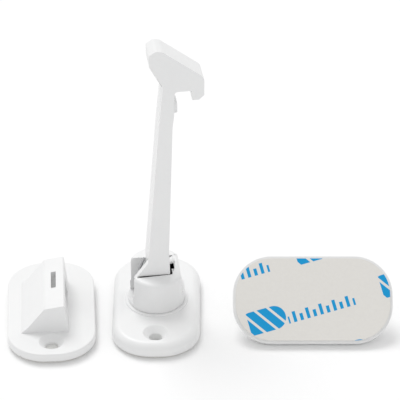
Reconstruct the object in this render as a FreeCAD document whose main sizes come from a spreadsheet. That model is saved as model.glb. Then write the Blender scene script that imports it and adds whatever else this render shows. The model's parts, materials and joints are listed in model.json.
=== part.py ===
"""Stick-on window restrictor latch: a sprung hook arm on a swivelling turret, and two keepers.

Frame: millimetres, +Z up. The origin is the middle of the arm unit's taped face, on the
surface that everything lies on. +Y runs along the arm unit's plate and +X points to the side
that its hook faces. One keeper lies face up beside the arm unit at -X. The other lies face
down at +X, leaning on its ridge and on one long edge.
"""

import math
import os

import FreeCAD
import Part
import Sketcher
from FreeCAD import Placement, Rotation, Vector

doc = FreeCAD.newDocument("window_restrictor")

# ---------------------------------------------------------------- driving dimensions

SIZES = {
    # mounting plates, shared by the arm unit and the keepers
    "plate_long": 58,
    "plate_wide": 32,
    "plate_corner": 14,
    "screw_pitch": 42,
    "screw_hole_radius": 2.35,
    "countersink_radius": 4.6,
    # tape under each plate
    "tape_inset": 1,
    "foam_thick": 0.95,
    "liner_thick": 0.15,
    # arm unit's plate
    "arm_plate_thick": 5,
    "arm_plate_round": 3,
    "seat_radius": 11.6,
    "seat_rise": 0.5,
    "pivot_bore_radius": 3.28,
    "recess_radius": 7.5,
    "recess_depth": 2.6,
    # turret
    "turret_yaw": 8,
    "turret_radius": 10.4,
    "turret_lift": 0.15,
    "skirt_top": 5.6,
    "cheek_flat": 8.7,
    "crown_mid": 14.5,
    "crown_tilt": 10,
    "crown_round": 1.2,
    "post_radius": 3.2,
    "post_drop": 2.55,
    "slot_half": 5,
    "slot_end": 5.4,
    "slot_floor": 1.6,
    "relief_end": 6.5,
    "relief_low": 2,
    # hinge
    "pin_along": 0.6,
    "pin_height": 8,
    "pin_radius": 1.5,
    "pin_fit": 0.05,
    "pin_grip": 3.2,
    "pin_tail": 0.7,
    "pin_inset": 0.1,
    "pin_chamfer": 0.25,
    # hook arm
    "arm_deep": 9.2,
    "ear_thick": 2.1,
    "flare_thick": 2.1,
    "barrel_radius": 4.4,
    "nub_deep": 5,
    # torsion spring
    "wire_radius": 0.45,
    "coil_radius": 3,
    "coil_half": 1.9,
    "leg_x": -8.2,
    "leg_bend": 1.6,
    "leg_sunk": 0.5,
    "leg_hole_depth": 0.7,
    "loose_fit": 0.15,
    "elbow_x": -6.2,
    "elbow_height": 11.7,
    "tip_x": -4.15,
    "tip_height": 17.2,
    # screw and washer that hold the turret
    "washer_radius": 6,
    "washer_thick": 0.8,
    "screw_radius": 1.4,
    "screw_head_radius": 3,
    "screw_head_tall": 1.3,
    "screw_shank_long": 4,
    "screw_overlap": 0.2,
    "pilot_floor": 0.6,
    "drive_slot_wide": 0.6,
    "drive_slot_deep": 0.7,
    # keepers
    "keeper_thick": 3.2,
    "keeper_round": 0.6,
    "wedge_long": 31.5,
    "pocket_front": -5,
    "pocket_back": 7,
    "slit_x": 1.1,
    "slit_wide": 1.8,
    "slit_inset": 2,
    "slit_low": 6,
    "keeper_x": -38.7,
    "keeper_y": -2.9,
    "keeper_yaw": 3.5,
    "turned_x": 57,
    "turned_y": -19.9,
}

sheet = doc.addObject("Spreadsheet::Sheet", "Sizes")
for row, (alias, size) in enumerate(SIZES.items(), start=1):
    sheet.set(f"A{row}", alias)
    sheet.set(f"B{row}", str(size))
    sheet.setAlias(f"B{row}", alias)
doc.recompute()


def size(text):
    """The value of an expression over the sheet, such as plate_long / 2."""
    found = sheet.evalExpression(bind(text))
    return float(getattr(found, "Value", found))


def bind(text):
    """The same expression with each alias pointing into the sheet."""
    words = str(text).replace("(", " ( ").replace(")", " ) ").split()
    return " ".join(f"Sizes.{word}" if word in SIZES else word for word in words)


def drive(thing, **properties):
    """Binds properties to expressions; a name's double underscore stands for a dot."""
    for name, text in properties.items():
        thing.setExpression(name.replace("__", "."), bind(text))


# ---------------------------------------------------------------- PartDesign helpers


def new_body(label):
    body = doc.addObject("PartDesign::Body", label)
    body.Label = label
    return body


def new_sketch(body, name, plane, lift="0"):
    """An empty sketch on one of the body's own planes, moved along the plane's normal."""
    sketch = body.newObject("Sketcher::SketchObject", name)
    base = [f for f in body.Origin.OriginFeatures if f.Role == plane][0]
    sketch.AttachmentSupport = [(base, "")]
    sketch.MapMode = "FlatFace"
    drive(sketch, AttachmentOffset__Base__z=lift)
    return sketch


def pin_down(sketch, geometry, point, x, y):
    """Fixes a point of the sketch at two expressions, measured from the sketch's origin."""
    for kind, text in (("DistanceX", x), ("DistanceY", y)):
        name = f"{kind[-1].lower()}{geometry}_{point}"
        index = sketch.addConstraint(
            Sketcher.Constraint(kind, -1, 1, geometry, point, size(text))
        )
        sketch.renameConstraint(index, name)
        sketch.setExpression(f"Constraints.{name}", bind(text))


def draw_outline(sketch, corners):
    """A closed outline of straight sides through corners given as pairs of expressions."""
    places = [Vector(size(x), size(y), 0) for x, y in corners]
    count = len(places)
    for index in range(count):
        sketch.addGeometry(Part.LineSegment(places[index], places[(index + 1) % count]))
    for index in range(count):
        sketch.addConstraint(Sketcher.Constraint("Coincident", index, 2, (index + 1) % count, 1))
    for index, (x, y) in enumerate(corners):
        pin_down(sketch, index, 1, x, y)
    return sketch


def draw_circle(sketch, x, y, radius):
    """A circle whose middle and radius are expressions."""
    middle = Vector(size(x), size(y), 0)
    index = sketch.addGeometry(Part.Circle(middle, Vector(0, 0, 1), size(radius)))
    pin_down(sketch, index, 3, x, y)
    datum = sketch.addConstraint(Sketcher.Constraint("Radius", index, size(radius)))
    sketch.renameConstraint(datum, f"radius{index}")
    sketch.setExpression(f"Constraints.radius{index}", bind(radius))
    return sketch


def grow(body, name, sketch, length, both_sides=False, backwards=False):
    pad = body.newObject("PartDesign::Pad", name)
    pad.Profile = sketch
    pad.SideType = "Symmetric" if both_sides else "One side"
    pad.Reversed = backwards
    drive(pad, Length=length)
    doc.recompute()
    return pad


def dig(body, name, sketch, length, both_sides=False, backwards=False):
    """A pocket that must take something away."""
    before = body.Shape.Volume
    pocket = body.newObject("PartDesign::Pocket", name)
    pocket.Profile = sketch
    pocket.SideType = "Symmetric" if both_sides else "One side"
    pocket.Reversed = backwards
    drive(pocket, Length=length)
    doc.recompute()
    if body.Shape.Volume > before - 0.01:
        raise SystemExit(f"{body.Label}.{name} cut nothing")
    return pocket


def edges_where(body, test):
    """Names of the body's edges whose middle passes the test."""
    found = []
    for number, edge in enumerate(body.Shape.Edges, start=1):
        middle = edge.valueAt((edge.FirstParameter + edge.LastParameter) / 2)
        if test(edge, middle):
            found.append(f"Edge{number}")
    return found


def dress(body, kind, name, edges, length):
    """A Fillet or Chamfer on the named edges of the body's last feature."""
    if not edges:
        raise SystemExit(f"{body.Label}.{name} found no edges")
    feature = body.newObject(f"PartDesign::{kind}", name)
    feature.Base = (feature.BaseFeature, edges)
    drive(feature, **{"Radius" if kind == "Fillet" else "Size": length})
    doc.recompute()
    return feature


def along_z(edge):
    """True for a straight edge that runs up."""
    start, end = edge.firstVertex().Point, edge.lastVertex().Point
    return abs(start.x - end.x) + abs(start.y - end.y) < 1e-6 < abs(start.z - end.z)


def near(value, text):
    return abs(value - size(text)) < 1e-4


# ---------------------------------------------------------------- plates and tape

TAPE = "foam_thick + liner_thick"


def add_plate(label, thick, rounding):
    """A plate with rounded corners and a softened top edge, standing on its tape."""
    body = new_body(label)
    sides = [
        ("- plate_wide / 2", "- plate_long / 2"),
        ("plate_wide / 2", "- plate_long / 2"),
        ("plate_wide / 2", "plate_long / 2"),
        ("- plate_wide / 2", "plate_long / 2"),
    ]
    sketch = draw_outline(new_sketch(body, f"{label}_outline", "XY_Plane", TAPE), sides)
    grow(body, f"{label}_slab", sketch, thick)
    corners = edges_where(body, lambda edge, middle: along_z(edge))
    dress(body, "Fillet", f"{label}_corners", corners, "plate_corner")
    top = edges_where(body, lambda edge, middle: near(middle.z, f"{TAPE} + {thick}"))
    dress(body, "Fillet", f"{label}_top_edge", top, rounding)
    return body


def add_screw_holes(body, thick):
    """Two countersunk holes on the plate's long centre line."""
    label = body.Label
    sketch = new_sketch(body, f"{label}_screw_holes", "XY_Plane", f"{TAPE} + {thick}")
    for side in ("- screw_pitch / 2", "screw_pitch / 2"):
        draw_circle(sketch, "0", side, "screw_hole_radius")
    dig(body, f"{label}_screw_bores", sketch, f"{thick} + 1")
    rims = edges_where(
        body,
        lambda edge, middle: isinstance(edge.Curve, Part.Circle)
        and abs(edge.Curve.Radius - size("screw_hole_radius")) < 1e-6
        and near(middle.z, f"{TAPE} + {thick}"),
    )
    dress(body, "Chamfer", f"{label}_countersinks", rims, "countersink_radius - screw_hole_radius")


def add_layer(label, low, thick):
    """One layer of the tape: foam, or the liner under it. It covers the screw holes."""
    body = new_body(label)
    half_x = "( plate_wide / 2 - tape_inset )"
    half_y = "( plate_long / 2 - tape_inset )"
    sides = [
        (f"- {half_x}", f"- {half_y}"),
        (half_x, f"- {half_y}"),
        (half_x, half_y),
        (f"- {half_x}", half_y),
    ]
    sketch = draw_outline(new_sketch(body, f"{label}_outline", "XY_Plane", low), sides)
    grow(body, f"{label}_slab", sketch, thick)
    corners = edges_where(body, lambda edge, middle: along_z(edge))
    dress(body, "Fillet", f"{label}_corners", corners, "plate_corner - tape_inset")
    return body


def add_tape(prefix):
    liner = add_layer(f"{prefix}_release_liner", "0", "liner_thick")
    foam = add_layer(f"{prefix}_foam_pad", "liner_thick", "foam_thick")
    return [foam, liner]


# ---------------------------------------------------------------- arm unit: plate

arm_plate = add_plate("base_plate", "arm_plate_thick", "arm_plate_round")

SEAT = f"{TAPE} + arm_plate_thick"
seat = draw_circle(new_sketch(arm_plate, "seat_circle", "XY_Plane", SEAT), "0", "0", "seat_radius")
grow(arm_plate, "turret_seat", seat, "seat_rise")

bore = draw_circle(
    new_sketch(arm_plate, "pivot_circle", "XY_Plane", f"{SEAT} + seat_rise"),
    "0",
    "0",
    "pivot_bore_radius",
)
dig(arm_plate, "pivot_bore", bore, "arm_plate_thick + seat_rise + 1")

recess = draw_circle(
    new_sketch(arm_plate, "recess_circle", "XY_Plane", TAPE), "0", "0", "recess_radius"
)
dig(arm_plate, "washer_recess", recess, "recess_depth", backwards=True)

add_screw_holes(arm_plate, "arm_plate_thick")
arm_unit = [arm_plate] + add_tape("base")

# ---------------------------------------------------------------- arm unit: turret
# Round drum with a flat on each side above its skirt. Its crown slopes down to the front. The
# slot for the arm is open at -X and shut at +X, and a post under it goes through the plate.
# It is drawn square to the frame and then turned about Z with everything that it carries.

FLOOR = f"{SEAT} + seat_rise + turret_lift"
PIN_Z = f"( {SEAT} + pin_height )"
YAW = Placement(Vector(), Rotation(Vector(0, 0, 1), size("turret_yaw")))


def box_sketch(body, name, plane, lift, low, high):
    """A sketch of one rectangle between two corners given as pairs of expressions."""
    corners = [low, (high[0], low[1]), high, (low[0], high[1])]
    return draw_outline(new_sketch(body, name, plane, lift), corners)


turret = new_body("turret")
drum = draw_circle(new_sketch(turret, "drum_circle", "XY_Plane", FLOOR), "0", "0", "turret_radius")
grow(turret, "drum", drum, "2 * crown_mid")

for side, name in (("", "right"), ("- ", "left")):
    flat = box_sketch(
        turret,
        f"{name}_flat_box",
        "XY_Plane",
        f"{SEAT} + skirt_top",
        (f"{side} cheek_flat", "-2 * turret_radius"),
        (f"{side} 2 * turret_radius", "2 * turret_radius"),
    )
    dig(turret, f"{name}_flat", flat, "2 * crown_mid", backwards=True)

rise = size("2 * turret_radius") * math.tan(math.radians(size("crown_tilt")))
above_crown = [
    ("-2 * turret_radius", f"{SEAT} + crown_mid - {rise}"),
    ("2 * turret_radius", f"{SEAT} + crown_mid + {rise}"),
    ("2 * turret_radius", f"{SEAT} + 3 * crown_mid"),
    ("-2 * turret_radius", f"{SEAT} + 3 * crown_mid"),
]
slope = draw_outline(new_sketch(turret, "crown_slope", "YZ_Plane"), above_crown)
dig(turret, "crown", slope, "4 * turret_radius", both_sides=True)
rim = edges_where(turret, lambda edge, middle: middle.z > size(f"{SEAT} + 2 * skirt_top"))
dress(turret, "Fillet", "crown_rounding", rim, "crown_round")

slot = box_sketch(
    turret,
    "slot_box",
    "XY_Plane",
    f"{SEAT} + slot_floor",
    ("-2 * turret_radius", "- slot_half"),
    ("slot_end", "slot_half"),
)
dig(turret, "arm_slot", slot, "2 * crown_mid", backwards=True)
relief = box_sketch(
    turret,
    "relief_box",
    "XY_Plane",
    f"{SEAT} + slot_floor",
    ("0", "- relief_low"),
    ("relief_end", "slot_half"),
)
dig(turret, "slot_relief", relief, "2 * crown_mid", backwards=True)

pin_hole = draw_circle(
    new_sketch(turret, "pin_circle", "XZ_Plane", "slot_half + pin_grip"),
    "pin_along",
    PIN_Z,
    "pin_radius + pin_fit / 2",
)
dig(turret, "pin_hole", pin_hole, "3 * turret_radius")

post = draw_circle(
    new_sketch(turret, "post_circle", "XY_Plane", f"{FLOOR} + slot_floor / 2"),
    "0",
    "0",
    "post_radius",
)
grow(turret, "post", post, "post_drop + seat_rise + turret_lift + slot_floor / 2", backwards=True)
POST_END = f"( {SEAT} - post_drop )"
pilot = draw_circle(
    new_sketch(turret, "pilot_circle", "XY_Plane", POST_END),
    "0",
    "0",
    "screw_radius + pin_fit",
)
dig(turret, "screw_pilot", pilot, "post_drop + slot_floor - pilot_floor", backwards=True)

leg_hole = draw_circle(
    new_sketch(turret, "leg_circle", "XY_Plane", f"{SEAT} + slot_floor"),
    "leg_x",
    "- coil_half",
    "wire_radius + loose_fit",
)
dig(turret, "spring_leg_hole", leg_hole, "leg_hole_depth")
turret.Placement = YAW


# ---------------------------------------------------------------- arm unit: small metal parts


def solid(kind, name, **sizes):
    """A Part primitive whose sizes are bound to the sheet."""
    thing = doc.addObject(f"Part::{kind}", name)
    drive(thing, **sizes)
    return thing


def at(thing, x="0", y="0", z="0", turn=None):
    """Binds a piece's position; turn is its fixed rotation."""
    if turn is not None:
        thing.Placement = Placement(Vector(), turn)
    drive(thing, Placement__Base__x=x, Placement__Base__y=y, Placement__Base__z=z)
    return thing


def combine(kind, label, base, tool):
    """A Part::Cut or Part::Fuse of two objects under the label."""
    result = doc.addObject(f"Part::{kind}", label)
    result.Label = label
    result.Base = base
    result.Tool = tool
    doc.recompute()
    return result


ALONG_Y = Rotation(Vector(1, 0, 0), -90)

pin_shaft = at(
    solid(
        "Cylinder", "pin_shaft", Radius="pin_radius", Height="2 * slot_half + pin_grip + pin_tail"
    ),
    "pin_along",
    "- slot_half - pin_grip + pin_inset",
    PIN_Z,
    ALONG_Y,
)
hinge_pin = doc.addObject("Part::Chamfer", "hinge_pin")
hinge_pin.Base = pin_shaft
doc.recompute()
pin_rims = [n for n, edge in enumerate(pin_shaft.Shape.Edges, start=1) if edge.Closed]
hinge_pin.Edges = [(n, size("pin_chamfer"), size("pin_chamfer")) for n in pin_rims]
doc.recompute()
hinge_pin.Placement = YAW

washer_disc = at(
    solid("Cylinder", "washer_disc", Radius="washer_radius", Height="washer_thick"),
    z=f"{POST_END} - washer_thick",
)
washer_hole = at(
    solid("Cylinder", "washer_hole", Radius="screw_radius + loose_fit", Height="washer_thick + 2"),
    z=f"{POST_END} - washer_thick - 1",
)
washer = combine("Cut", "swivel_washer", washer_disc, washer_hole)

HEAD_TOP = f"{POST_END} - washer_thick"
screw_shank = at(
    solid("Cylinder", "screw_shank", Radius="screw_radius", Height="screw_shank_long"),
    z=f"{HEAD_TOP} - screw_overlap",
)
screw_head = at(
    solid("Cylinder", "screw_head", Radius="screw_head_radius", Height="screw_head_tall"),
    z=f"{HEAD_TOP} - screw_head_tall",
)
screw_solid = combine("Fuse", "screw_solid", screw_head, screw_shank)


def drive_slot(name, long_x, long_y):
    """One bar of the cross in the screw's head, centred on the screw."""
    bar = solid("Box", name, Length=long_x, Width=long_y, Height="screw_head_tall")
    low = f"{HEAD_TOP} - 2 * screw_head_tall + drive_slot_deep"
    return at(bar, f"- ( {long_x} ) / 2", f"- ( {long_y} ) / 2", low)


drive_slots = combine(
    "Fuse",
    "drive_slots",
    drive_slot("drive_slot_x", "screw_head_radius", "drive_slot_wide"),
    drive_slot("drive_slot_y", "drive_slot_wide", "screw_head_radius"),
)
screw = combine("Cut", "swivel_screw", screw_solid, drive_slots)

# ---------------------------------------------------------------- arm unit: torsion spring
# Coil round the hinge pin. One leg runs down to a hole in the slot's floor, the other up the
# arm's left side. Angles are in degrees in the X-Z plane, from +X towards +Z.

COIL_START = 288.3
COIL_TURN = 3 * 360 + 154.9
LEG_TOP = Vector(size("leg_x"), size("- coil_half"), size(f"{SEAT} + slot_floor + leg_bend"))
LEG_ELBOW = Vector(size("elbow_x"), size("coil_half"), size(f"{SEAT} + elbow_height"))
LEG_TIP = Vector(size("tip_x"), size("coil_half"), size(f"{SEAT} + tip_height"))


def spring_shape():
    """Coil and two bent legs of round wire, as one solid."""
    wire = size("wire_radius")
    middle = Vector(size("pin_along"), 0, size(PIN_Z))

    def on_coil(degrees, y):
        angle = math.radians(degrees)
        reach = size("coil_radius")
        return middle + Vector(reach * math.cos(angle), y, reach * math.sin(angle))

    def rod(start, end):
        span = end - start
        return Part.makeCylinder(wire, span.Length, start, span)

    def ball(place):
        return Part.makeSphere(wire, place)

    long_way = 2 * size("coil_half")
    helix = Part.makeHelix(long_way * 360 / COIL_TURN, long_way, size("coil_radius"), 0, True)
    start = helix.Edges[0].valueAt(helix.Edges[0].FirstParameter)
    ahead = helix.Edges[0].tangentAt(helix.Edges[0].FirstParameter)
    ring = Part.Wire([Part.Circle(start, ahead, wire).toShape()])
    coil = Part.Wire(helix).makePipeShell([ring], True, True)
    coil.rotate(Vector(), Vector(0, 0, 1), -COIL_START)
    coil.rotate(Vector(), Vector(1, 0, 0), -90)
    coil.translate(middle + Vector(0, -size("coil_half"), 0))
    low = on_coil(COIL_START, -size("coil_half"))
    high = on_coil(COIL_START + COIL_TURN, size("coil_half"))
    leg_end = LEG_TOP - Vector(0, 0, size("leg_bend + leg_sunk"))
    pieces = [
        ball(low),
        rod(low, LEG_TOP),
        ball(LEG_TOP),
        rod(LEG_TOP, leg_end),
        ball(high),
        rod(high, LEG_ELBOW),
        ball(LEG_ELBOW),
        rod(LEG_ELBOW, LEG_TIP),
    ]
    return coil.fuse(pieces).removeSplitter()


spring = doc.addObject("Part::Feature", "torsion_spring")
spring.Shape = spring_shape()
spring.Placement = YAW

# ---------------------------------------------------------------- arm unit: hook arm
# Drawn as it stands at rest, leaning to the right. Heights are above the plate's top face.


def on_arm(points):
    """Arm outline corners from (x, height above the plate) to expressions of the sketch."""
    return [(str(x), f"{SEAT} + {height}") for x, height in points]


ARM_OUTLINE = [
    (4.7, 11.0),
    (4.3, 24.0),
    (5.9, 76.0),
    (6.5, 80.6),
    (6.6, 88.0),
    (6.8, 90.3),
    (12.9, 90.3),
    (12.9, 86.6),
    (15.2, 86.6),
    (17.1, 88.3),
    (17.1, 95.4),
    (2.6, 106.4),
    (0.4, 106.8),
    (-2.1, 105.2),
    (-2.1, 100.8),
    (2.7, 92.2),
    (1.1, 76.0),
    (-3.3, 19.5),
    (-3.3, 11.0),
]

arm = new_body("lock_arm")
blade = draw_outline(new_sketch(arm, "blade_outline", "XZ_Plane"), on_arm(ARM_OUTLINE))
grow(arm, "blade", blade, "arm_deep", both_sides=True)

NUB_OUTLINE = [(5.9, 80.4), (7.9, 80.9), (7.9, 84.8), (6.3, 85.8), (5.0, 85.8), (5.0, 80.4)]
nub_sketch = draw_outline(new_sketch(arm, "nub_outline", "XZ_Plane"), on_arm(NUB_OUTLINE))
grow(arm, "nub", nub_sketch, "nub_deep", both_sides=True)

barrel = draw_circle(
    new_sketch(arm, "barrel_circle", "XZ_Plane"), "pin_along", PIN_Z, "barrel_radius"
)
grow(arm, "barrel", barrel, "arm_deep", both_sides=True)

FLARE_OUTLINE = [(-3.2, 19.5), (-8.5, 12.2), (-7.7, 10.8), (-3.0, 6.6), (0.5, 8.0), (0.5, 17.0)]
flare_sketch = draw_outline(
    new_sketch(arm, "flare_outline", "XZ_Plane", "arm_deep / 2"), on_arm(FLARE_OUTLINE)
)
grow(arm, "flare", flare_sketch, "flare_thick", backwards=True)

FORK_OUTLINE = [(-12, 2.0), (12, 2.0), (12, 15.0), (-12, 15.0)]
fork_sketch = draw_outline(new_sketch(arm, "fork_outline", "XZ_Plane"), on_arm(FORK_OUTLINE))
dig(arm, "fork_gap", fork_sketch, "arm_deep - 2 * ear_thick", both_sides=True)

ear_hole = draw_circle(
    new_sketch(arm, "ear_circle", "XZ_Plane"), "pin_along", PIN_Z, "pin_radius + pin_fit"
)
dig(arm, "ear_holes", ear_hole, "arm_deep + 2", both_sides=True)


def corner_edges(x, height):
    """The arm's edges that run through its depth at one corner of the outline."""
    return edges_where(
        arm,
        lambda edge, middle: abs(middle.x - x) < 0.02
        and abs(middle.z - size(SEAT) - height) < 0.02
        and abs(edge.firstVertex().Point.y - edge.lastVertex().Point.y) > 5,
    )


ROUNDED = {
    "shoulder": (17.1, 95.4, 3.0),
    "brow": (2.6, 106.4, 3.0),
    "crest": (0.4, 106.8, 1.5),
    "thumb_top": (-2.1, 105.2, 0.8),
    "thumb_low": (-2.1, 100.8, 1.5),
    "neck": (2.7, 92.2, 4.0),
    "notch": (6.8, 90.3, 1.2),
}
for name, (x, height, radius) in ROUNDED.items():
    dress(arm, "Fillet", f"{name}_round", corner_edges(x, height), str(radius))
arm.Placement = YAW

arm_unit += [turret, hinge_pin, washer, screw, spring, arm]

# ---------------------------------------------------------------- keepers
# A hollow wedge on a plate: a ramp from -X up to a ridge, and an upright wall at +X with an
# opening that the arm's tooth goes into.

KEEPER_TOP = f"{TAPE} + keeper_thick"
WEDGE = [(-11.6, -0.5), (-8.4, 2.5), (-2.3, 10.3), (4.7, 11.5), (5.1, 11.1), (6.3, -0.5)]
RIDGE_TALL = WEDGE[3][1]
POCKET = [(-5.4, 0.8), (-1.0, 7.6), (4.0, 8.4), (12, 8.4), (12, 0.8)]


def on_keeper(points):
    """Wedge outline corners from (x, height above the plate) to expressions."""
    return [(str(x), f"{KEEPER_TOP} + {height}") for x, height in points]


def add_keeper(prefix):
    """A keeper with its tape, as it stands with the plate's middle over the origin."""
    body = add_plate(f"{prefix}_body", "keeper_thick", "keeper_round")
    wedge = draw_outline(
        new_sketch(body, f"{prefix}_wedge_outline", "XZ_Plane"),
        on_keeper(WEDGE),
    )
    grow(body, f"{prefix}_wedge", wedge, "wedge_long", both_sides=True)
    pocket = draw_outline(
        new_sketch(body, f"{prefix}_pocket_outline", "XZ_Plane", "- pocket_back"),
        on_keeper(POCKET),
    )
    dig(body, f"{prefix}_pocket", pocket, "pocket_back - pocket_front", backwards=True)
    slit = box_sketch(
        body,
        f"{prefix}_slit_box",
        "XY_Plane",
        f"{KEEPER_TOP} + 2 * {RIDGE_TALL}",
        ("slit_x - slit_wide / 2", "pocket_front + slit_inset"),
        ("slit_x + slit_wide / 2", "pocket_back"),
    )
    dig(body, f"{prefix}_slit", slit, f"2 * {RIDGE_TALL} - slit_low")
    add_screw_holes(body, "keeper_thick")
    return [body] + add_tape(prefix)


def face_down(body):
    """Placement of a keeper lying on its ridge and on the long edge beside its upright wall.

    It turns about the ridge's middle and is then set down on the lowest point of its shape.
    """
    bite = size("keeper_round") * (1 - math.sqrt(0.5))
    edge = Vector(size("plate_wide / 2") - bite, 0, size(KEEPER_TOP) - bite)
    (left, left_tall), (right, right_tall) = WEDGE[3], WEDGE[4]
    ridge = Vector((left + right) / 2, 0, size(KEEPER_TOP) + (left_tall + right_tall) / 2)
    tilt = math.atan2(ridge.z - edge.z, edge.x - ridge.x)
    across = Vector(0, -math.cos(tilt), -math.sin(tilt))
    up = Vector(0, math.sin(tilt), -math.cos(tilt))
    turn = Rotation(across, up.cross(across), up, "XYZ")
    spot = Placement(Vector(size("turned_x"), size("turned_y"), 0) - turn.multVec(edge), turn)
    lying = body.Shape.copy()
    lying.Placement = spot
    spot.Base.z -= lying.optimalBoundingBox(False).ZMin
    return spot


keeper = add_keeper("keeper")
keeper_turn = Rotation(Vector(0, 0, 1), size("keeper_yaw"))
for piece in keeper:
    at(piece, "keeper_x", "keeper_y", turn=keeper_turn)

turned_keeper = add_keeper("turned_keeper")
lying_place = face_down(turned_keeper[0])
for piece in turned_keeper:
    piece.Placement = lying_place

# ---------------------------------------------------------------- check and write

doc.recompute()
failed = [o.Name for o in doc.Objects if {"Invalid", "Error"} & set(o.State)]
if failed:
    raise SystemExit(f"failed objects: {failed}")

os.makedirs("parts", exist_ok=True)
for piece in arm_unit + keeper + turned_keeper:
    shape = piece.Shape
    if shape.isNull() or not shape.isValid() or len(shape.Solids) != 1:
        raise SystemExit(f"{piece.Label}: its shape isn't one valid solid")
    box = shape.BoundBox
    print(
        f"{piece.Label:30s} {shape.Volume:9.1f} mm3  x {box.XMin:7.2f} {box.XMax:7.2f}"
        f"  y {box.YMin:7.2f} {box.YMax:7.2f}  z {box.ZMin:7.2f} {box.ZMax:7.2f}"
    )
    shape.exportStep(f"parts/{piece.Label}.step")
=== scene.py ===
# %% [markdown]
# # A stick-on window latch
#
# The set has an arm unit in the middle, a keeper lying face up at its left, and a second keeper
# lying face down at its right, where its tape can be seen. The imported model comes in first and
# stays fixed. It says where each piece goes, and every new piece is made to fit it.

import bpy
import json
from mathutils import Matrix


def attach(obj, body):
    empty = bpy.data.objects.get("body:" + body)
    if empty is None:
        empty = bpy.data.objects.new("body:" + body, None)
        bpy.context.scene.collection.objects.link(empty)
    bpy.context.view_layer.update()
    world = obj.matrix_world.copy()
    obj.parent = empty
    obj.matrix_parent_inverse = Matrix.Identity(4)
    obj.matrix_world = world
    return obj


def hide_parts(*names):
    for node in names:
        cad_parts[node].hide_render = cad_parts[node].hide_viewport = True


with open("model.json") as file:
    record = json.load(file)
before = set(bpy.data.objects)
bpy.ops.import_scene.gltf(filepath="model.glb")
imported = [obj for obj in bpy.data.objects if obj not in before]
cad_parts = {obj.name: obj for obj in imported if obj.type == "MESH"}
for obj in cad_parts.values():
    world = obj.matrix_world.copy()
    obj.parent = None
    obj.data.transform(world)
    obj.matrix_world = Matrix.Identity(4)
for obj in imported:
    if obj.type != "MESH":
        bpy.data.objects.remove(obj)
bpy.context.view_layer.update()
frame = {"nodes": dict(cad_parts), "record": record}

# %% [markdown]
# ## Working in millimetres
#
# These pieces are small, and some of Blender's tools stop working well below a tenth of a
# millimetre when one unit is a metre. So one unit stands for one millimetre while a piece is
# modelled, and the last step on each piece shrinks it a thousandfold and moves it to its place.
#
# Edit-mode tools act on whatever is selected. `alone` clears the selection before a primitive is
# added, and `pick` selects corners, edges or faces by where they are.

# %% Selecting, as with a mouse
import json
import math

import bmesh
import bpy
from mathutils import Matrix, Vector

CLOSE = 0.02  # mm within which a corner counts as lying at a place
SAME_SPOT = 0.001  # mm within which two corners become one
SHARP = 32  # degrees that a real edge turns by, at least


def alone():
    """Leaves edit mode and deselects everything, the CAD nodes too."""
    if bpy.context.object and bpy.context.object.mode == "EDIT":
        bpy.ops.object.mode_set(mode="OBJECT")
    bpy.ops.object.select_all(action="DESELECT")


def edit(piece):
    """Opens one piece in edit mode."""
    alone()
    piece.select_set(True)
    bpy.context.view_layer.objects.active = piece
    bpy.ops.object.mode_set(mode="EDIT")
    return piece


def pick(kind, test):
    """Selects the VERTs, EDGEs or FACEs for which test(corner places) is true."""
    bpy.ops.mesh.select_mode(type=kind)
    bpy.ops.mesh.select_all(action="DESELECT")
    open_mesh = bpy.context.edit_object.data
    mesh = bmesh.from_edit_mesh(open_mesh)
    if kind == "VERT":
        items = [(v, [v.co]) for v in mesh.verts]
    else:
        parts = mesh.edges if kind == "EDGE" else mesh.faces
        items = [(part, [v.co for v in part.verts]) for part in parts]
    for item, places in items:
        if test(places):
            item.select_set(True)
    mesh.select_flush_mode()
    bmesh.update_edit_mesh(open_mesh)


def level(axis, value):
    """A test for pick: every corner lies at that value along x, y or z."""
    return lambda places: all(abs(getattr(p, axis) - value) < CLOSE for p in places)


# %% [markdown]
# ## Starting shapes
#
# Three kinds of start are enough here. A block is a cube pulled to its size. A rod is a
# cylinder. A drawn outline is one vertex that is extruded from corner to corner and filled with
# `F`, then pushed out to its depth or spun round an axis.

# %% Blocks, rods and drawn outlines


def block(low, high):
    """A box between two corners, open in edit mode."""
    alone()
    bpy.ops.mesh.primitive_cube_add(size=1)
    piece = edit(bpy.context.object)
    low, high = Vector(low), Vector(high)
    bpy.ops.mesh.select_all(action="SELECT")
    bpy.ops.transform.resize(value=high - low, center_override=(0, 0, 0))
    bpy.ops.transform.translate(value=(low + high) / 2)
    return piece


def rod(radius, start, end, sides=64):
    """A cylinder from one point to another that is straight along X, Y or Z from it."""
    start, end = Vector(start), Vector(end)
    along = end - start
    turn = Vector((0, 0, 1)).rotation_difference(along.normalized())
    alone()
    bpy.ops.mesh.primitive_cylinder_add(
        vertices=sides, radius=radius, depth=along.length, location=(start + end) / 2
    )
    piece = bpy.context.object
    piece.rotation_mode = "QUATERNION"
    piece.rotation_quaternion = turn
    bpy.ops.object.transform_apply(location=True, rotation=True, scale=True)
    return edit(piece)


def drawn(corners):
    """A flat face through corners given as (x, z), drawn on the X-Z plane."""
    spots = [Vector((x, 0, z)) for x, z in corners]
    alone()
    bpy.ops.mesh.primitive_plane_add(size=2)
    piece = edit(bpy.context.object)
    kept = Vector((-1, -1, 0))  # the plane's corner that becomes the outline's first
    pick("VERT", lambda places: (places[0] - kept).length > CLOSE)
    bpy.ops.mesh.delete(type="VERT")
    bpy.ops.mesh.select_all(action="SELECT")
    bpy.ops.transform.translate(value=spots[0] - kept)
    for here, there in zip(spots, spots[1:] + spots[:1]):
        bpy.ops.mesh.extrude_vertices_move(TRANSFORM_OT_translate={"value": there - here})
    bpy.ops.mesh.select_all(action="SELECT")
    bpy.ops.mesh.remove_doubles(threshold=SAME_SPOT)
    bpy.ops.mesh.edge_face_add()
    return piece


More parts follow.
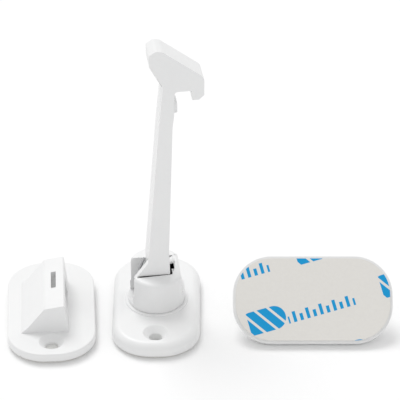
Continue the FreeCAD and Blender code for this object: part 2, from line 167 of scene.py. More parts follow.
def round_corner(x, z, radius, steps=8):
    """Gives one corner of a drawn outline a true arc of that radius."""
    corner = Vector((x, 0, z))
    pick("VERT", lambda places: (places[0] - corner).length < CLOSE)
    mesh = bmesh.from_edit_mesh(bpy.context.edit_object.data)
    vertex = next(v for v in mesh.verts if v.select)
    one, two = [edge.other_vert(vertex).co - vertex.co for edge in vertex.link_edges]
    along_sides = radius / math.tan(one.angle(two) / 2)
    bpy.ops.mesh.bevel(
        offset=along_sides, offset_type="ABSOLUTE", segments=steps, affect="VERTICES"
    )


def thicken(piece, front, back):
    """Pushes a drawn outline into a solid from y = front to y = back."""
    bpy.ops.mesh.select_all(action="SELECT")
    bpy.ops.transform.translate(value=(0, front, 0))
    bpy.ops.mesh.extrude_region_move(TRANSFORM_OT_translate={"value": (0, back - front, 0)})
    bpy.ops.mesh.select_all(action="SELECT")
    bpy.ops.mesh.normals_make_consistent(inside=False)
    return piece


def lathe(piece, steps=96):
    """Spins a drawn outline that touches the Z axis into a solid."""
    bpy.ops.mesh.select_all(action="SELECT")
    bpy.ops.mesh.delete(type="ONLY_FACE")
    pick("EDGE", level("x", 0))
    bpy.ops.mesh.delete(type="EDGE")
    bpy.ops.mesh.select_all(action="SELECT")
    bpy.ops.mesh.spin(steps=steps, angle=2 * math.pi, center=(0, 0, 0), axis=(0, 0, 1))
    bpy.ops.mesh.select_all(action="SELECT")
    bpy.ops.mesh.remove_doubles(threshold=SAME_SPOT)
    bpy.ops.mesh.normals_make_consistent(inside=False)
    return piece


# %% [markdown]
# ## Cutting, joining and softening
#
# Holes and slots come from Boolean modifiers, and each is applied at once. Moulded plastic has
# no sharp edges: the steel mould is always rounded a little, and that thin rounding is what
# catches the light. So each piece ends with a narrow Bevel modifier on all its sharp edges.

# %% Modifiers that finish a piece


def apply_modifier(piece, kind, **settings):
    """Adds a modifier, sets it and applies it."""
    alone()
    piece.select_set(True)
    bpy.context.view_layer.objects.active = piece
    modifier = piece.modifiers.new(kind.lower(), kind)
    for name, value in settings.items():
        setattr(modifier, name, value)
    bpy.ops.object.modifier_apply(modifier=modifier.name)


def combine(piece, tool, operation="DIFFERENCE"):
    """Cuts the tool out of the piece, or joins it on, and throws the tool away."""
    alone()
    apply_modifier(piece, "BOOLEAN", object=tool, operation=operation, solver="MANIFOLD")
    bpy.data.objects.remove(tool)


def join(piece, tool):
    combine(piece, tool, "UNION")


STRAY = 0.004  # mm between corners that a Boolean left almost together
FLAT = 0.6  # degrees between faces that count as one flat face


def tidy(piece):
    """Merges stray corners, and the flat faces that a Boolean splits."""
    edit(piece)
    bpy.ops.mesh.select_all(action="SELECT")
    bpy.ops.mesh.remove_doubles(threshold=STRAY)
    bpy.ops.mesh.dissolve_limited(angle_limit=math.radians(FLAT))
    bpy.ops.mesh.dissolve_degenerate(threshold=SAME_SPOT)
    alone()


def soften(piece, width, segments=3, sharper_than=SHARP):
    """Rounds every edge that turns by more than that many degrees."""
    tidy(piece)
    apply_modifier(
        piece,
        "BEVEL",
        width=width,
        segments=segments,
        limit_method="ANGLE",
        angle_limit=math.radians(sharper_than),
    )


# %% [markdown]
# ## Shader maths
#
# A procedural material is arithmetic on coordinates. `Value` wraps one output socket, so that
# `1 - mask * 0.3` adds the Math nodes that it needs. Everything else comes from `Finish.add`.

# %% Materials as expressions


MM_IN_METRE = 1000


class Value:
    """One number coming out of a node."""

    def __init__(self, finish, socket):
        self.finish, self.socket = finish, socket

    def maths(self, operation, *others, clamp=False):
        settings = {"operation": operation, "use_clamp": clamp}
        inputs = dict(enumerate((self,) + others))
        return self.finish.add("ShaderNodeMath", settings, inputs)

    def __add__(self, other):
        return self.maths("ADD", other)

    def __mul__(self, other):
        return self.maths("MULTIPLY", other)

    def __sub__(self, other):
        return self.maths("SUBTRACT", other)

    def __truediv__(self, other):
        return self.maths("DIVIDE", other)

    def __rsub__(self, other):
        return self * -1 + other

    __radd__ = __add__

    def within(self, middle, half, blur):
        """1 where the value is within half of the middle, fading to 0 over blur."""
        away = (self - middle).maths("ABSOLUTE")
        return ((half - away) / blur + 0.5).maths("ADD", 0, clamp=True)

    def wrapped(self, step):
        """The value folded into -step / 2 to step / 2, for a repeating pattern."""
        return self.maths("WRAP", step / 2, -step / 2)


class Finish:
    """A material, built node by node."""

    def __init__(self, name):
        self.material = bpy.data.materials.new(name)
        self.material.use_nodes = True
        self.tree = self.material.node_tree
        self.shader = self.tree.nodes["Principled BSDF"]
        self.place = self.add("ShaderNodeTexCoord", output="Object")

    def feed(self, socket, value):
        if isinstance(value, Value):
            self.tree.links.new(value.socket, socket)
        else:
            socket.default_value = value

    def add(self, kind, settings=None, inputs=None, output=0):
        """One node: its settings first, then its sockets."""
        node = self.tree.nodes.new(kind)
        for name, value in (settings or {}).items():
            setattr(node, name, value)
        for name, value in (inputs or {}).items():
            self.feed(node.inputs[name], value)
        return Value(self, node.outputs[output])

    def set(self, **inputs):
        """Feeds the main shader's sockets; an underscore stands for a space."""
        for name, value in inputs.items():
            self.feed(self.shader.inputs[name.replace("_", " ")], value)
        return self

    def noise(self, scale, detail=2.0, stretch=(1, 1, 1)):
        vector = self.place
        if stretch != (1, 1, 1):
            vector = self.add("ShaderNodeMapping", None, {"Vector": vector, "Scale": stretch})
        inputs = {"Vector": vector, "Scale": scale, "Detail": detail}
        return self.add("ShaderNodeTexNoise", None, inputs)

    def blend(self, share, first, second):
        """A colour between two colours; 6 and 7 are the Mix node's colour sockets."""
        inputs = {"Factor": share, 6: first, 7: second}
        return self.add("ShaderNodeMix", {"data_type": "RGBA"}, inputs, output=2)

    def bump(self, height, strength, distance):
        inputs = {"Height": height, "Strength": strength, "Distance": distance}
        return self.add("ShaderNodeBump", None, inputs)

    def along(self, direction, origin):
        """How far a point lies from the origin along a direction, in millimetres."""
        inputs = {0: self.place, 1: origin}
        offset = self.add("ShaderNodeVectorMath", {"operation": "SUBTRACT"}, inputs)
        inputs = {0: offset, 1: direction}
        found = self.add("ShaderNodeVectorMath", {"operation": "DOT_PRODUCT"}, inputs, "Value")
        return found * MM_IN_METRE


# %% [markdown]
# ## White ABS
#
# The plates, turret, arm and keepers are one white plastic with a satin surface. Up close a
# mould leaves a very fine grain, and the sheen varies slowly where the plastic cooled at
# different speeds. Two noises do this: a slow one shifts the colour and the roughness, and a
# fast one raises a faint bump.

# %% White plastic


def white_plastic():
    finish = Finish("white_satin_abs")
    cooling = finish.noise(scale=70, detail=3)
    grain = finish.noise(scale=5200, detail=2)
    shade = finish.blend(cooling, (0.80, 0.805, 0.81, 1), (0.86, 0.86, 0.855, 1))
    return finish.set(
        Base_Color=shade,
        Roughness=0.30 + cooling * 0.10 + grain * 0.06,
        Normal=finish.bump(grain, strength=0.08, distance=0.00002),
        IOR=1.52,
    ).material


ABS = white_plastic()
print("material", ABS.name)

# %% [markdown]
# ## Foam tape
#
# The tape is white closed-cell foam. Its cut side shows tiny cells, so a Voronoi pattern with
# cells of a third of a millimetre colours it and dents it.

# %% Foam


def foam_tape():
    finish = Finish("white_foam_tape")
    cells = finish.add("ShaderNodeTexVoronoi", None, {"Vector": finish.place, "Scale": 3000})
    shade = finish.blend(cells, (0.66, 0.66, 0.64, 1), (0.80, 0.80, 0.78, 1))
    return finish.set(
        Base_Color=shade,
        Roughness=0.78 + cells * 0.15,
        Normal=finish.bump(cells, strength=0.35, distance=0.00008),
    ).material


FOAM = foam_tape()
print("material", FOAM.name)

# %% [markdown]
# ## Release liner
#
# The liner is coated paper, warmer and shinier than the plastic, with print in blue that repeats
# across the roll and is cut off where the tape was stamped out. The print here is a plain
# pattern of its own: hatched pills, and rows of ticks like a scale. It runs at a slant, so it is
# worked out from two distances, one along the rows and one across them.

# %% Liner print

PRINT_SLANT = math.radians(16)
ROW_STEP = 20.2  # mm from one row of print to the next
REPEAT = 50.0  # mm from one pill to the next in a row
ROW_SHIFT = 26.5  # mm that each row is moved back against the one below it
ROW_DROP = 2.6  # mm that the middle row lies below the liner's middle
INK_BLUR, PILL_BLUR = 0.1, 0.12  # mm over which the ink's edges fade
PILL_MIDDLE, PILL_HALF_LONG, PILL_HALF_TALL = -19.5, 8.4, 4.3
HATCH_STEP, HATCH_HALF, HATCH_LEAN = 4.6, 0.55, 0.7
TICK_STEP, TICK_HALF = 5.0, 0.6
SCALE_MIDDLE, SCALE_HALF = 1.9, 12.6  # the stretch that carries ticks


def release_liner(name, origin, right, up):
    """Liner whose print is centred on origin and reads along right, with up across it."""
    finish = Finish(name)
    right, up = Vector(right), Vector(up)
    rows = right * math.cos(PRINT_SLANT) + up * math.sin(PRINT_SLANT)
    climb = up * math.cos(PRINT_SLANT) - right * math.sin(PRINT_SLANT)
    across = finish.along(climb, origin) + ROW_DROP
    row = (across / ROW_STEP + 0.5).maths("FLOOR")
    height = across - row * ROW_STEP
    place = (finish.along(rows, origin) + row * ROW_SHIFT).wrapped(REPEAT)

    def pill(middle, half_long, half_tall):
        """A bar with round ends."""
        past = ((place - middle).maths("ABSOLUTE") - (half_long - half_tall)).maths("MAXIMUM", 0)
        away = (past * past + height * height).maths("SQRT")
        return ((half_tall - away) / PILL_BLUR + 0.5).maths("ADD", 0, clamp=True)

    def ticks(first, middle, half_tall):
        """Upright bars along the row; one of them stands at first."""
        bars = (place - first).wrapped(TICK_STEP).within(0, TICK_HALF, INK_BLUR)
        return bars * height.within(middle, half_tall, INK_BLUR)

    stripes = (place + height * HATCH_LEAN).wrapped(HATCH_STEP).within(0, HATCH_HALF, INK_BLUR)
    badge = pill(PILL_MIDDLE, PILL_HALF_LONG, PILL_HALF_TALL) * (1 - stripes)
    long_ticks, short_ticks = ticks(1.8, -1.6, 2.0), ticks(-0.7, -2.3, 1.3)
    carries_ticks = place.within(SCALE_MIDDLE, SCALE_HALF, INK_BLUR)
    scale = long_ticks.maths("MAXIMUM", short_ticks) * carries_ticks
    ink = badge.maths("MAXIMUM", scale)

    fibres = finish.noise(scale=900, detail=4)
    ripple = finish.noise(scale=120, detail=1)
    paper = finish.blend(fibres, (0.755, 0.735, 0.70, 1), (0.80, 0.785, 0.75, 1))
    return finish.set(
        Base_Color=finish.blend(ink, paper, (0.008, 0.32, 0.66, 1)),
        Roughness=0.42 + fibres * 0.08 - ink * 0.08,
        Normal=finish.bump(ripple + ink * 0.03, strength=0.12, distance=0.0002),
        Specular_IOR_Level=0.2,
    ).material


# %% [markdown]
# ## Metal
#
# The pin, washer and screw are zinc-plated steel, and the spring is brighter drawn wire. Both
# are metals with streaks: the noise is squeezed along the length of the wire or pin.

# %% Steel


def metal(name, dark, light, rough, stretch):
    finish = Finish(name)
    streaks = finish.noise(scale=2500, detail=3, stretch=stretch)
    return finish.set(
        Base_Color=finish.blend(streaks, dark, light),
        Metallic=1.0,
        Roughness=rough + streaks * 0.12,
        Normal=finish.bump(streaks, strength=0.06, distance=0.00002),
    ).material


ZINC = metal("zinc_plated_steel", (0.50, 0.50, 0.51, 1), (0.68, 0.68, 0.69, 1), 0.24, (1, 0.1, 1))
WIRE = metal("bright_spring_wire", (0.36, 0.36, 0.37, 1), (0.60, 0.60, 0.61, 1), 0.18, (1, 1, 0.1))
print("materials", ZINC.name, WIRE.name)

# %% [markdown]
# ## Handing a piece over
#
# Each finished piece is shrunk to metres, moved to its place, shaded, and tied to its CAD body.
# A Weighted Normal modifier keeps the broad flat faces looking flat beside their thin bevels.

# %% Settle a piece

METRES = Matrix.Scale(1 / MM_IN_METRE, 4)


def settle(piece, name, body, stands_for, material, place=Matrix()):
    alone()
    piece.select_set(True)
    bpy.context.view_layer.objects.active = piece
    piece.name = piece.data.name = name
    piece.matrix_world = place @ METRES
    bpy.ops.object.transform_apply(location=True, rotation=True, scale=True)
    bpy.ops.object.shade_smooth_by_angle(angle=math.radians(SHARP))
    apply_modifier(piece, "WEIGHTED_NORMAL", keep_sharp=True)
    piece.data.materials.clear()
    piece.data.materials.append(material)
    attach(piece, body)
    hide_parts(stands_for)
    piece.data.calc_loop_triangles()
    print(f"{name}: {len(piece.data.loop_triangles)} triangles on {body}")


def twin(piece):
    """A copy with its own mesh."""
    alone()
    piece.select_set(True)
    bpy.context.view_layer.objects.active = piece
    bpy.ops.object.duplicate(linked=False)
    return bpy.context.object


# %% [markdown]
# ## Plates
#
# All three units stand on the same plate, 58 by 32 mm with corners of 14 mm radius. A block
# gives it: its four upright edges are bevelled by 14 mm, then the rim of its top face. The
# screw holes are cut with a lathed tool whose mouth flares out, so that the rim of each
# countersink comes out rounded.

# %% Plate and screw holes

TAPE = 1.1
PLATE_LONG, PLATE_WIDE, PLATE_CORNER = 58, 32, 14
SCREW_Y = 21
CORNER_STEPS = 20
UNDER_ROUND = 0.25
HOLE_RADIUS, COUNTERSINK_RADIUS = 2.35, 4.6
HOLE_ROUND, RIM_ROUND, RIM_FLARE = 0.6, 0.7, 0.35


def slab(low, high, grow=0.0):
    """A block with the plate's outline, grown by a margin, between two heights."""
    half_x, half_y = PLATE_WIDE / 2 + grow, PLATE_LONG / 2 + grow
    piece = block((-half_x, -half_y, low), (half_x, half_y, high))
    pick("EDGE", lambda places: abs(places[0].z - places[1].z) > (high - low) / 2)
    bpy.ops.mesh.bevel(offset=PLATE_CORNER + grow, segments=CORNER_STEPS, affect="EDGES")
    return piece


def plate(thick, top_round, steps):
    """A mounting plate on its tape, with its top rim rounded."""
    top = TAPE + thick
    piece = slab(TAPE, top)
    pick("EDGE", level("z", top))
    bpy.ops.mesh.bevel(offset=top_round, segments=steps, affect="EDGES")
    pick("EDGE", level("z", TAPE))
    bpy.ops.mesh.bevel(offset=UNDER_ROUND, segments=2, affect="EDGES")
    return piece


def screw_hole_tool(top, y):
    """What a countersunk hole takes away, with a flared mouth."""
    wide = COUNTERSINK_RADIUS
    cone_low = top - (wide - HOLE_RADIUS)
    past = 2  # mm that the tool goes on above and below the plate
    tool = drawn(
        [
            (0, TAPE - past),
            (HOLE_RADIUS, TAPE - past),
            (HOLE_RADIUS, cone_low),
            (wide, top),
            (wide + RIM_FLARE, top),
            (wide + RIM_FLARE, top + past),
            (0, top + past),
        ]
    )
    round_corner(HOLE_RADIUS, cone_low, HOLE_ROUND, steps=4)
    round_corner(wide, top, RIM_ROUND, steps=5)
    lathe(tool, steps=64)
    bpy.ops.mesh.select_all(action="SELECT")
    bpy.ops.transform.translate(value=(0, y, 0))
    alone()
    return tool


# %% [markdown]
# ## Arm unit's plate
#
# It is 5 mm thick with a well rounded top. A low round seat in its middle carries the turret.
# Below, a recess takes the washer that keeps the turret on.

# %% Arm unit's plate

ARM_PLATE_THICK = 5
SEAT = TAPE + ARM_PLATE_THICK
SEAT_RADIUS, SEAT_RISE, SEAT_SUNK = 11.6, 0.5, 1
BORE_RADIUS, RECESS_RADIUS, RECESS_DEEP = 3.28, 7.5, 2.6
YAW = Matrix.Rotation(math.radians(8), 4, "Z")

arm_plate = plate(ARM_PLATE_THICK, top_round=3, steps=8)
seat_top = SEAT + SEAT_RISE
seat_corners = [(0, SEAT - SEAT_SUNK), (SEAT_RADIUS, SEAT - SEAT_SUNK)]
seat = drawn(seat_corners + [(SEAT_RADIUS, seat_top), (0, seat_top)])
round_corner(SEAT_RADIUS, seat_top, 0.3, steps=4)
join(arm_plate, lathe(seat))
combine(arm_plate, rod(BORE_RADIUS, (0, 0, 0), (0, 0, 2 * SEAT)))
combine(arm_plate, rod(RECESS_RADIUS, (0, 0, 0), (0, 0, TAPE + RECESS_DEEP)))
for side in (-SCREW_Y, SCREW_Y):
    combine(arm_plate, screw_hole_tool(SEAT, side))
soften(arm_plate, 0.12, 2, sharper_than=40)
settle(arm_plate, "arm_plate", "base", "base_plate", ABS)

# %% [markdown]
# ## Turret
#
# The turret is a drum that turns on the plate. Each side is cut flat above a low skirt, the
# crown slopes down to the front, and a slot for the arm is open at the left. It could be built
# up from walls, but cutting it out of a drum, as a toolmaker would, keeps its round parts true.

# %% Turret

DRUM_LOW = SEAT + SEAT_RISE + 0.15
DRUM_RADIUS, CHEEK_FLAT, SKIRT_TOP = 10.4, 8.7, SEAT + 5.6
SLOT_FLOOR = SEAT + 1.6
SLOT_FRONT, SLOT_BACK, SLOT_END = -4.8, 5, 5.4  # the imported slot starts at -5
RELIEF_FRONT, RELIEF_END = -2, 6.5
PIN_X, PIN_Z = 0.6, SEAT + 8
PIN_HOLE_RADIUS, PIN_FRONT = 1.525, -8.2
POST_RADIUS, POST_END, PILOT_RADIUS = 3.2, 3.55, 1.45
POST_TOP, PILOT_TOP = SLOT_FLOOR - 0.4, SLOT_FLOOR - 0.6
LEG_X, LEG_Y, LEG_HOLE_RADIUS, LEG_HOLE_DEEP = -8.2, -1.9, 0.6, 0.7
CROWN, CROWN_TILT = SEAT + 14.5, math.radians(10)
CROWN_ROUND, RIM_STEP = 1.2, 0.25
AROUND = 40  # more than the turret's reach, for tools that pass right through


def above_crown(place):
    """How far a place is above the sloping crown."""
    return place.z - CROWN - place.y * math.tan(CROWN_TILT)


turret = rod(DRUM_RADIUS, (0, 0, DRUM_LOW), (0, 0, CROWN + 4), sides=128)
for side in (-1, 1):
    near_x, far_x = sorted((side * CHEEK_FLAT, side * AROUND))
    combine(turret, block((near_x, -AROUND, SKIRT_TOP), (far_x, AROUND, AROUND)))
edit(turret)
bpy.ops.mesh.select_all(action="SELECT")
bpy.ops.mesh.remove_doubles(threshold=RIM_STEP)
bpy.ops.mesh.bisect(
    plane_co=(0, 0, CROWN),
    plane_no=(0, -math.sin(CROWN_TILT), math.cos(CROWN_TILT)),
    use_fill=True,
    clear_outer=True,
)
bpy.ops.mesh.select_all(action="SELECT")
bpy.ops.mesh.normals_make_consistent(inside=False)
pick("EDGE", lambda places: all(abs(above_crown(p)) < CLOSE for p in places))
bpy.ops.mesh.bevel(offset=CROWN_ROUND, segments=6, affect="EDGES")

alone()
print("drum:", len(turret.data.polygons), "faces")

# %% Turret's post, slot and holes

join(turret, rod(POST_RADIUS, (0, 0, POST_END), (0, 0, POST_TOP)))
combine(turret, block((-AROUND, SLOT_FRONT, SLOT_FLOOR), (SLOT_END, SLOT_BACK, AROUND)))
combine(turret, block((0, RELIEF_FRONT, SLOT_FLOOR), (RELIEF_END, SLOT_BACK, AROUND)))
combine(turret, rod(PIN_HOLE_RADIUS, (PIN_X, PIN_FRONT, PIN_Z), (PIN_X, AROUND, PIN_Z)))
leg_hole_low = (LEG_X, LEG_Y, SLOT_FLOOR - LEG_HOLE_DEEP)
combine(turret, rod(LEG_HOLE_RADIUS, leg_hole_low, (LEG_X, LEG_Y, AROUND), sides=32))
combine(turret, rod(PILOT_RADIUS, (0, 0, 0), (0, 0, PILOT_TOP)))
soften(turret, 0.3, 3)
settle(turret, "turret_drum", "turret", "turret", ABS, place=YAW)

# %% [markdown]
# ## Hook arm
#
# The arm is nearly flat, so it is drawn from the side and pushed out to its depth of 9.2 mm. Its
# outline has the thumb tab, the sloping brow, the tooth and the notch. The brow is rounded far
# more than the rest, for the thumb that pushes on it, and the foot is forked round the pin.

# %% Hook arm

HALF_DEEP = 4.6
NUB_HALF, EAR_INSIDE = 2.5, 2.5
BARREL_RADIUS, EAR_HOLE_RADIUS = 4.4, 1.55
FORK_REACH, FORK_LOW, FORK_HIGH = 12, 2, 15
ARM = [
    (4.7, 11.0),
    (4.3, 24.0),
    (5.9, 76.0),
    (6.5, 80.6),
    (6.6, 88.0),
    (6.8, 90.3),
    (12.9, 90.3),
    (12.9, 86.6),
    (15.2, 86.6),
    (17.1, 88.3),
    (17.1, 95.4),
    (2.6, 106.4),
    (0.4, 106.8),
    (-2.1, 105.2),
    (-2.1, 100.8),
    (2.7, 92.2),
    (1.1, 76.0),
    (-3.3, 19.5),
    (-3.3, 11.0),
]
NUB = [(5.0, 80.4), (5.9, 80.4), (7.9, 80.9), (7.9, 84.8), (6.3, 85.8), (5.0, 85.8)]
FLARE = [(-3.2, 19.5), (-8.5, 12.2), (-7.7, 10.8), (-3.0, 6.6), (0.5, 8.0), (0.5, 17.0)]
ARM_ROUNDS = [  # corner and radius
    (17.1, 95.4, 3.0),
    (2.6, 106.4, 2.4),
    (0.4, 106.8, 1.5),
    (-2.1, 105.2, 0.8),
    (-2.1, 100.8, 1.5),
    (2.7, 92.2, 4.0),
    (6.8, 90.3, 1.2),
    (15.2, 86.6, 0.4),
    (17.1, 88.3, 0.4),
    (-3.3, 19.5, 4.0),
]

print("arm outline:", len(ARM), "corners,", len(ARM_ROUNDS), "of them rounded")

# %% Hook arm from its outlines


def above_seat(corners):
    return [(x, SEAT + height) for x, height in corners]


arm = drawn(above_seat(ARM))
for x, height, radius in ARM_ROUNDS:
    round_corner(x, SEAT + height, radius)
thicken(arm, -HALF_DEEP, HALF_DEEP)

nub = drawn(above_seat(NUB))
round_corner(7.9, SEAT + 80.9, 0.4)
round_corner(7.9, SEAT + 84.8, 0.6)
join(arm, thicken(nub, -NUB_HALF, NUB_HALF))
barrel_ends = [(PIN_X, side * HALF_DEEP, PIN_Z) for side in (-1, 1)]
join(arm, rod(BARREL_RADIUS, *barrel_ends, sides=96))
flare = drawn(above_seat(FLARE))
round_corner(-8.5, SEAT + 12.2, 0.8)
round_corner(-7.7, SEAT + 10.8, 0.6)
join(arm, thicken(flare, -HALF_DEEP, -EAR_INSIDE))
fork_low = (-FORK_REACH, -EAR_INSIDE, SEAT + FORK_LOW)
combine(arm, block(fork_low, (FORK_REACH, EAR_INSIDE, SEAT + FORK_HIGH)))
combine(arm, rod(EAR_HOLE_RADIUS, (PIN_X, -AROUND, PIN_Z), (PIN_X, AROUND, PIN_Z)))
tidy(arm)
print("arm before rounding:", len(arm.data.polygons), "faces")

# %% Rounding the hook arm

BROAD, FINE = 2.0, 0.38  # mm of rounding along the brow and everywhere else
BROW_LOW, BROW_LEFT = 91, 0.2
SHOULDER_FADE, CREST_FADE = 5.0, 3.0  # mm over which the broad rounding comes in


def brow_share(place):
    """1 along the brow, fading to 0 round the crest at one end and the shoulder at the other."""
    height = place.z - SEAT
    if height < BROW_LOW or place.x < BROW_LEFT:
        return 0
    from_crest = (place.x - BROW_LEFT) / CREST_FADE
    from_shoulder = (height - BROW_LOW) / SHOULDER_FADE
    return max(0, min(1, from_crest, from_shoulder))


def weigh_edges(piece):
    """Gives each sharp edge a bevel weight: 1 for a broad rounding, less for a finer one."""
    edit(piece)
    mesh = bmesh.from_edit_mesh(piece.data)
    weights = mesh.edges.layers.float.new("bevel_weight_edge")
    for edge in mesh.edges:
        if edge.calc_face_angle(0) < math.radians(SHARP):
            continue
        start, end = (v.co for v in edge.verts)
        on_face = all(abs(abs(p.y) - HALF_DEEP) < CLOSE for p in (start, end))
        share = brow_share((start + end) / 2) if on_face and abs(start.y - end.y) < CLOSE else 0
        edge[weights] = (FINE + (BROAD - FINE) * share) / BROAD
    bmesh.update_edit_mesh(piece.data)


weigh_edges(arm)
apply_modifier(arm, "BEVEL", width=BROAD, segments=5, limit_method="WEIGHT")
settle(arm, "hook_arm", "arm", "lock_arm", ABS, place=YAW)

# %% [markdown]
# ## Spring
#
# A torsion spring sits round the pin. One leg stands in a hole in the turret's floor and the
# other leans on the arm, so the spring is two pieces: the coil with its lower leg goes with the
# turret, and the upper leg goes with the arm. Each piece is one path through points along a
# helix and round elbows, given the wire's thickness by a round curve bevel.

# %% Spring

WIRE_RADIUS, COIL_RADIUS, COIL_HALF = 0.45, 3.0, 1.9
COIL_START, COIL_TURN = math.radians(288.3), math.radians(3 * 360 + 154.9)


def on_coil(angle, y):
    return Vector(
        (PIN_X + COIL_RADIUS * math.cos(angle), y, PIN_Z + COIL_RADIUS * math.sin(angle))
    )


def wire(points):
    """A bent wire: a path through the points, rounded at its corners and given its thickness."""
    alone()
    bpy.ops.curve.primitive_nurbs_path_add()
    piece = bpy.context.object
    curve = piece.data
    curve.splines.clear()
    path = curve.splines.new("POLY")
    path.points.add(len(points) - 1)
    for spot, place in zip(path.points, points):
        spot.co = (*place, 1)
    curve.bevel_depth = WIRE_RADIUS
    curve.bevel_resolution = 6
    curve.use_fill_caps = True
    bpy.ops.object.convert(target="MESH")
    edit(piece)
    bpy.ops.mesh.select_all(action="SELECT")
    bpy.ops.mesh.remove_doubles(threshold=SAME_SPOT)
    bpy.ops.mesh.normals_make_consistent(inside=False)
    alone()
    return piece


BEND_STEPS = 8


def bend(before, corner, after, reach):
    """Points of a smooth bend that starts and ends at reach from the corner."""
    start = corner + (before - corner).normalized() * reach
    end = corner + (after - corner).normalized() * reach
    return [
        start.lerp(corner, t / BEND_STEPS).lerp(corner.lerp(end, t / BEND_STEPS), t / BEND_STEPS)
        for t in range(BEND_STEPS + 1)
    ]


# %% Coil and legs

COIL_STEPS, LEG_ARC_STEPS = 150, 45  # the upper leg begins with the coil's last arc
helix = [
    on_coil(COIL_START + COIL_TURN * t / COIL_STEPS, -COIL_HALF + 2 * COIL_HALF * t / COIL_STEPS)
    for t in range(COIL_STEPS + 1)
]
foot = Vector((LEG_X, LEG_Y, SLOT_FLOOR + 0.6))
knee = foot + Vector((0, 0, 1))
sole = foot - Vector((0, 0, 1.1))
lower = [sole] + bend(sole, knee, helix[0], 0.8) + helix
spring_coil = wire(lower)
settle(spring_coil, "spring_coil", "turret", "torsion_spring", WIRE, place=YAW)

elbow = Vector((-6.2, COIL_HALF, SEAT + 11.7))
tip = Vector((-4.15, COIL_HALF, SEAT + 17.2))
upper = helix[-LEG_ARC_STEPS:] + bend(helix[-1], elbow, tip, 1.2) + [tip]
spring_leg = wire(upper)
settle(spring_leg, "spring_leg", "arm", "torsion_spring", WIRE, place=YAW)

# %% [markdown]
# ## Keepers
#
# A keeper is a thinner plate with a hollow wedge on it. The arm's head rides up the ramp and
# drops over the ridge, and its tooth goes into the opening in the upright wall. It is modelled
# once and copied. The copy lies face down on its ridge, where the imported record's mount says.

# %% Keepers

KEEPER_THICK = 3.2
KEEPER_TOP = TAPE + KEEPER_THICK
WEDGE_HALF = 15.75
WEDGE = [(-11.6, -0.5), (-8.4, 2.5), (-2.3, 10.3), (4.7, 11.5), (5.1, 11.1), (6.3, -0.5)]
POCKET = [(-5.4, 0.8), (-1.0, 7.6), (4.0, 8.4), (12, 8.4), (12, 0.8)]
POCKET_FRONT, POCKET_BACK = -5, 7
SLIT_LEFT, SLIT_RIGHT, SLIT_FRONT, SLIT_LOW = 0.2, 2.0, -3, KEEPER_TOP + 6
KEEPER_YAW = math.radians(3.5)


def above_keeper(corners):
    return [(x, KEEPER_TOP + height) for x, height in corners]


keeper = plate(KEEPER_THICK, top_round=0.6, steps=4)
wedge = drawn(above_keeper(WEDGE))
round_corner(-8.4, KEEPER_TOP + 2.5, 3)
round_corner(-2.3, KEEPER_TOP + 10.3, 1.5)
join(keeper, thicken(wedge, -WEDGE_HALF, WEDGE_HALF))
combine(keeper, thicken(drawn(above_keeper(POCKET)), POCKET_FRONT, POCKET_BACK))
combine(keeper, block((SLIT_LEFT, SLIT_FRONT, SLIT_LOW), (SLIT_RIGHT, POCKET_BACK, AROUND)))
for side in (-SCREW_Y, SCREW_Y):
    combine(keeper, screw_hole_tool(KEEPER_TOP, side))
soften(keeper, 0.3, 3)
turned_keeper = twin(keeper)

# %% Place the keepers

mounts = {m["name"]: m for m in frame["record"]["mounts"]}
keeper_spot = Matrix.Translation(mounts["keeper_tape_face"]["pos_m"])
keeper_place = keeper_spot @ Matrix.Rotation(KEEPER_YAW, 4, "Z")
turned = mounts["turned_keeper_tape_face"]
outwards = Vector(turned["axis"])
down_slope = Vector((0, -outwards.z, outwards.y))
turned_axes = Matrix((down_slope, (-1, 0, 0), -outwards)).transposed()
turned_place = Matrix.Translation(turned["pos_m"]) @ turned_axes.to_4x4()

settle(keeper, "keeper_left", "keeper", "keeper_body", ABS, keeper_place)
settle(
    turned_keeper,
    "keeper_turned",
    "turned_keeper",
    "turned_keeper_body",
    ABS,
    turned_place,
)

# %% [markdown]
# ## Tape
#
# Under each plate is a pad of foam with a liner on it, both stamped out 1 mm smaller than the
# plate. The stamp squeezes the foam, so its side is waisted in the middle: the side faces are
# cut across and the cut is drawn in a little.

# %% Foam pads and liners

LINER = 0.15
WAIST = (0.993, 0.996, 1)
FOAM_RIM, WAIST_ROUND, LINER_RIM = 0.08, 0.2, 0.04


def foam_pad():
    piece = slab(LINER, TAPE, grow=-1)
    waist = (LINER + TAPE) / 2
    bpy.ops.mesh.select_all(action="SELECT")
    bpy.ops.mesh.bisect(plane_co=(0, 0, waist), plane_no=(0, 0, 1))
    pick("VERT", level("z", waist))
    bpy.ops.transform.resize(value=WAIST, center_override=(0, 0, waist))
    pick("EDGE", level("z", LINER))
    bpy.ops.mesh.bevel(offset=FOAM_RIM, segments=2, affect="EDGES")
    pick("EDGE", level("z", waist))
    bpy.ops.mesh.bevel(offset=WAIST_ROUND, segments=3, affect="EDGES")
    alone()
    return piece


def liner_sheet():
    piece = slab(0, LINER, grow=-1)
    pick("EDGE", level("z", 0))
    bpy.ops.mesh.bevel(offset=LINER_RIM, segments=2, affect="EDGES")
    alone()
    return piece


units = [
    ("base", "arm_unit", Matrix(), (0, -1, 0)),
    ("keeper", "keeper", keeper_place, (0, -1, 0)),
    ("turned_keeper", "turned_keeper", turned_place, -down_slope),
]
for body, label, place, up in units:
    pad = foam_pad()
    settle(pad, f"foam_{label}", body, f"{body}_foam_pad", FOAM, place)
    printed = release_liner(f"printed_liner_{label}", place.translation, (1, 0, 0), up)
    liner = liner_sheet()
    settle(liner, f"liner_{label}", body, f"{body}_release_liner", printed, place)

# %% [markdown]
# ## Metal that stays as it is
#
# The pin, the washer and the screw already have their final shape, so they keep their CAD meshes
# and only get the zinc finish.

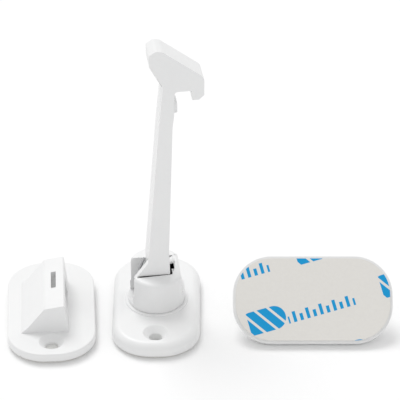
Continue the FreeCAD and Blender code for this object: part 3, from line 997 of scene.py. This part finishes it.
# %% Carried-over metal
for name in ("hinge_pin", "swivel_washer", "swivel_screw"):
    node = frame["nodes"][name]
    node.data.materials.clear()
    node.data.materials.append(ZINC)
    print(f"{name}: {len(node.data.polygons)} faces, carried over")

# %% [markdown]
# ## Floor, light and camera
#
# White plastic on a white ground needs some light from one side, or it disappears. One soft sun
# stands high, a little behind the set and to its left, so that its short shadows fall forward
# and to the right. The white surroundings fill everything else.

# %% Floor
FLOOR_SIDE = 6  # metres

alone()
bpy.ops.mesh.primitive_plane_add(size=FLOOR_SIDE)
floor = bpy.context.object
floor.name = "pale_floor"
ground = Finish("pale_floor")
tone = ground.noise(scale=3)
ground.set(
    Base_Color=ground.blend(tone, (0.92, 0.92, 0.92, 1), (0.94, 0.94, 0.94, 1)),
    Roughness=0.9,
)
floor.data.materials.append(ground.material)
print("floor", FLOOR_SIDE, "m across")

# %% Light
SURROUNDINGS = 0.78  # brightness of the white all round

world = bpy.data.worlds.new("white_surroundings")
world.use_nodes = True
world.node_tree.nodes["Background"].inputs["Color"].default_value = (1, 1, 1, 1)
world.node_tree.nodes["Background"].inputs["Strength"].default_value = SURROUNDINGS
bpy.context.scene.world = world
print("surroundings", SURROUNDINGS)


def soft_sun(name, comes_from, spread, strength):
    """An even light from one side; the spread in degrees sets how soft its shadows are."""
    data = bpy.data.lights.new(name, "SUN")
    data.angle = math.radians(spread)
    data.energy = strength
    light = bpy.data.objects.new(name, data)
    light.rotation_euler = Vector(comes_from).to_track_quat("Z", "Y").to_euler()
    bpy.context.scene.collection.objects.link(light)
    print(f"light {name}: {spread} degrees wide, strength {strength}")


soft_sun("overhead_rear_left", comes_from=(-0.25, 0.45, 0.9), spread=30, strength=1.15)

# %% Camera
camera_data = bpy.data.cameras.new("camera")
camera_data.lens, camera_data.sensor_width = 200, 36
camera = bpy.data.objects.new("camera", camera_data)
camera.location = (0.01605, -0.66545, 0.48662)
camera.rotation_euler = (math.radians(56.7), 0, 0)
bpy.context.scene.collection.objects.link(camera)
bpy.context.scene.camera = camera
print("camera at", tuple(camera.location), "with lens", camera_data.lens)
bpy.context.scene.view_settings.view_transform = "Standard"
